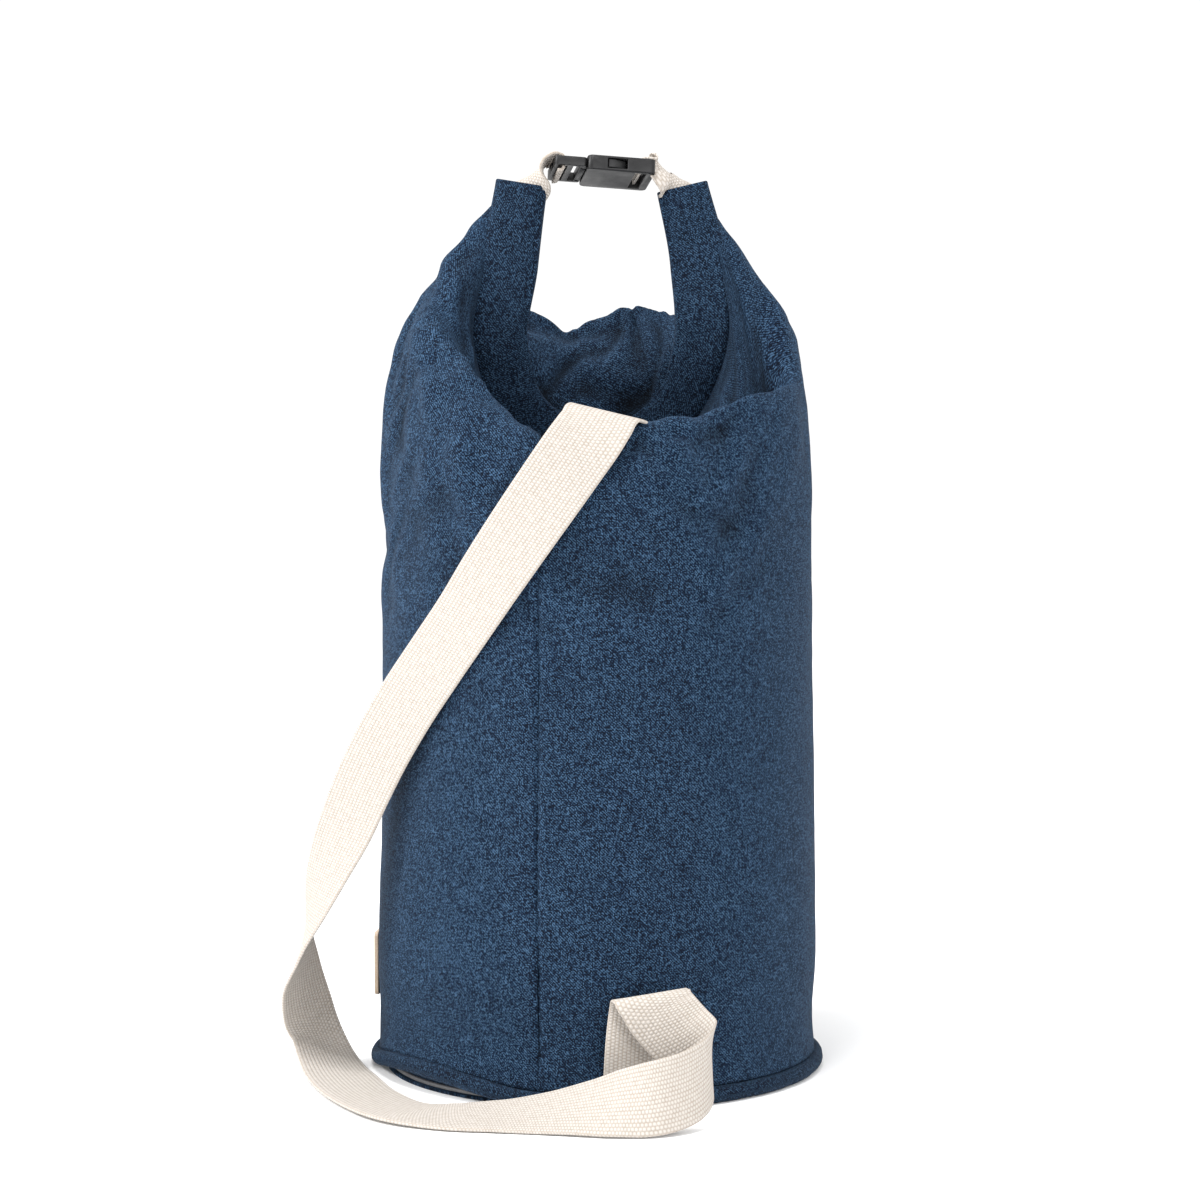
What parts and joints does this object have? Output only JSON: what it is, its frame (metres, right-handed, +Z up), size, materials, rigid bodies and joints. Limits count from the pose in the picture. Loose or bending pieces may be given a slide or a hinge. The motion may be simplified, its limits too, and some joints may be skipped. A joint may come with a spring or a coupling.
{
  "type": "roll-top rope bag",
  "caption": "Upright cylindrical fabric bag with a rolled mouth joined by a side-release buckle into a carrying loop, and a wide webbing shoulder strap.",
  "frame": {"origin": "centre of the base where it rests on the floor", "axes": "+Z up, -Y towards the side that the shoulder strap crosses, +X to the right seen from that side"},
  "size_m": [0.3024, 0.3176, 0.5085],
  "materials": {
    "body_fabric": "woven, slightly melange, dull",
    "base_fabric": "coated weave, dull",
    "lining_fabric": "smooth coated weave",
    "webbing": "flat woven cotton-like webbing",
    "cotton": "twisted filler cord",
    "thread": "sewing thread",
    "buckle_plastic": "moulded, fine matt texture",
    "board": "stiff sheet",
    "leather": "natural, smooth"
  },
  "bodies": {
    "bag": {"left_panel": "body_fabric", "right_panel": "body_fabric", "left_shoulder": "body_fabric", "right_shoulder": "body_fabric", "front_seam_tape": "lining_fabric", "rear_seam_tape": "lining_fabric", "base_panel": "base_fabric", "base_board": "board", "base_piping_cover": "body_fabric", "base_piping_cord": "cotton", "lining_wall": "lining_fabric", "lining_base": "lining_fabric", "roll_middle": "body_fabric", "shoulder_strap": "webbing", "strap_base_stitching": "thread", "side_label": "leather", "label_stitching": "thread"},
    "left_roll": {"left_roll_end": "body_fabric"},
    "left_tab": {"left_webbing": "webbing", "buckle_male": "buckle_plastic"},
    "near_prong": {"near_prong": "buckle_plastic"},
    "far_prong": {"far_prong": "buckle_plastic"},
    "right_roll": {"right_roll_end": "body_fabric"},
    "right_tab": {"right_webbing": "webbing", "buckle_female": "buckle_plastic"}
  },
  "joints": [
    {"name": "left_roll_swing", "type": "hinge", "parent": "bag", "child": "left_roll", "pos_m": [-0.05, 0, 0.4], "axis": [0.1478, -0.989, 0], "range_deg": [0, 50], "deforming": ["left_shoulder"]},
    {"name": "left_tab_level", "type": "hinge", "parent": "left_roll", "child": "left_tab", "pos_m": [-0.035, 0, 0.487], "axis": [0.1478, -0.989, 0], "range_deg": [-50, 0], "deforming": ["left_webbing"]},
    {"name": "near_prong_press", "type": "hinge", "parent": "left_tab", "child": "near_prong", "pos_m": [-0.00662, -0.01191, 0.50056], "axis": [0.0284, 0.2659, 0.9636], "range_deg": [0, 8], "stiffness_Nm_per_rad": 0.02, "deforming": ["near_prong"]},
    {"name": "far_prong_press", "type": "hinge", "parent": "left_tab", "child": "far_prong", "pos_m": [-0.01009, 0.00867, 0.49498], "axis": [-0.0284, -0.2659, -0.9636], "range_deg": [0, 8], "stiffness_Nm_per_rad": 0.02, "deforming": ["far_prong"]},
    {"name": "right_roll_swing", "type": "hinge", "parent": "bag", "child": "right_roll", "pos_m": [0.048, 0, 0.403], "axis": [-0.1478, 0.989, 0], "range_deg": [0, 50], "deforming": ["right_shoulder"]},
    {"name": "right_tab_level", "type": "hinge", "parent": "right_roll", "child": "right_tab", "pos_m": [0.044, 0, 0.486], "axis": [-0.1478, 0.989, 0], "range_deg": [-50, 0], "deforming": ["right_webbing"]}
  ],
  "couplings": [
    {"joint": "left_tab_level", "follows": "left_roll_swing", "ratio": -1},
    {"joint": "right_tab_level", "follows": "right_roll_swing", "ratio": -1}
  ]
}
